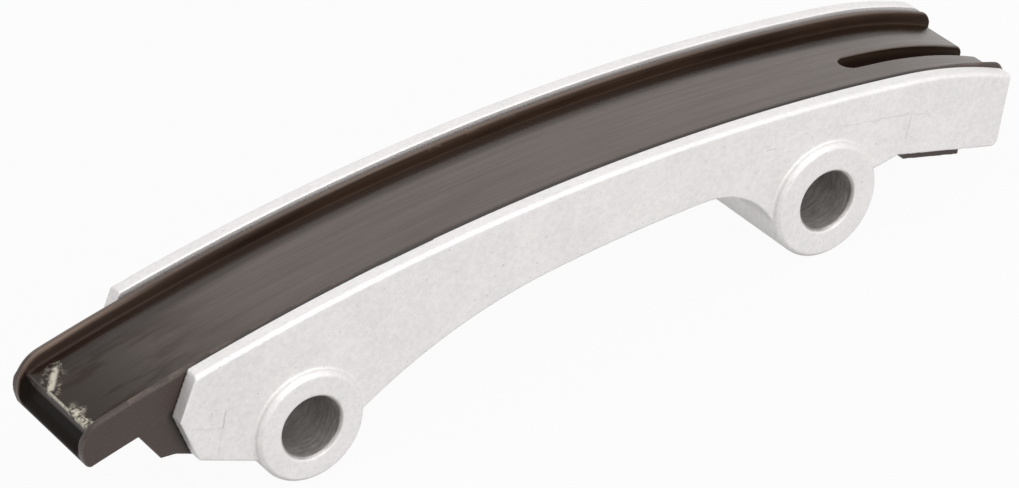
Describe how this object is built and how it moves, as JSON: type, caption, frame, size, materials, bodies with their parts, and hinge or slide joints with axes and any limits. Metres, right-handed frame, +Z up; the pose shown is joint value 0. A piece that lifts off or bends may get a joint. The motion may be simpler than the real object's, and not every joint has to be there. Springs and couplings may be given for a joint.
{
  "type": "timing chain guide",
  "caption": "Curved timing chain guide: a die-cast aluminium channel with bored bosses holds a clip-in nylon slipper with a side rail, a nose and a forked end.",
  "frame": {"origin": "middle of the left bore, on its axis, halfway between the two boss faces", "axes": "+X from the left bore to the right bore, +Y along the bores towards the rail, +Z up towards the chain"},
  "size_m": [0.1437, 0.0242, 0.0274],
  "materials": {
    "cast_aluminium": "bright die-cast skin, fine matt grain",
    "brown_nylon": "dark brown moulded nylon, running surface worn to a grey sheen"
  },
  "bodies": {
    "root": {"carrier": "cast_aluminium", "slipper": "brown_nylon"}
  },
  "joints": []
}
